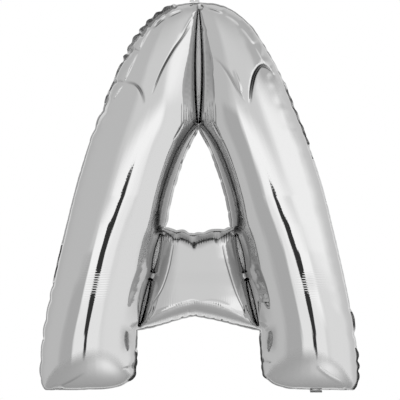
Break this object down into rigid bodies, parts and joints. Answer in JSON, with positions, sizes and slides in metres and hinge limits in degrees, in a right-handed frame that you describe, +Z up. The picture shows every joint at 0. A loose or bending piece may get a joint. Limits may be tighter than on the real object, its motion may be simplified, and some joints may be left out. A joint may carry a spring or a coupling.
{
  "type": "inflated foil letter balloon",
  "caption": "Inflated silver foil letter balloon, a capital A of two sealed film sheets with welded valleys, a hanging tab and a folded filling neck.",
  "frame": {"origin": "middle of the letter's height and width, on the plane of the seams, where the air mount holds it", "axes": "+Z up the letter, +X to the right as it is read, -Y out of the front sheet"},
  "size_m": [0.6988, 0.201, 0.8639],
  "materials": {
    "silver_film": "mirror-bright metallised film, taut and creased near its seams",
    "sealed_film": "metallised film, heat sealed and finely crimped"
  },
  "bodies": {
    "root": {"front_film": "silver_film", "back_film": "silver_film", "outer_seam": "sealed_film", "window_seam": "sealed_film", "apex_weld": "sealed_film", "crossbar_weld_upper_left": "sealed_film", "crossbar_weld_upper_right": "sealed_film", "crossbar_weld_lower_left": "sealed_film", "crossbar_weld_lower_right": "sealed_film", "hanging_tab": "sealed_film", "filling_neck": "sealed_film"}
  },
  "joints": []
}
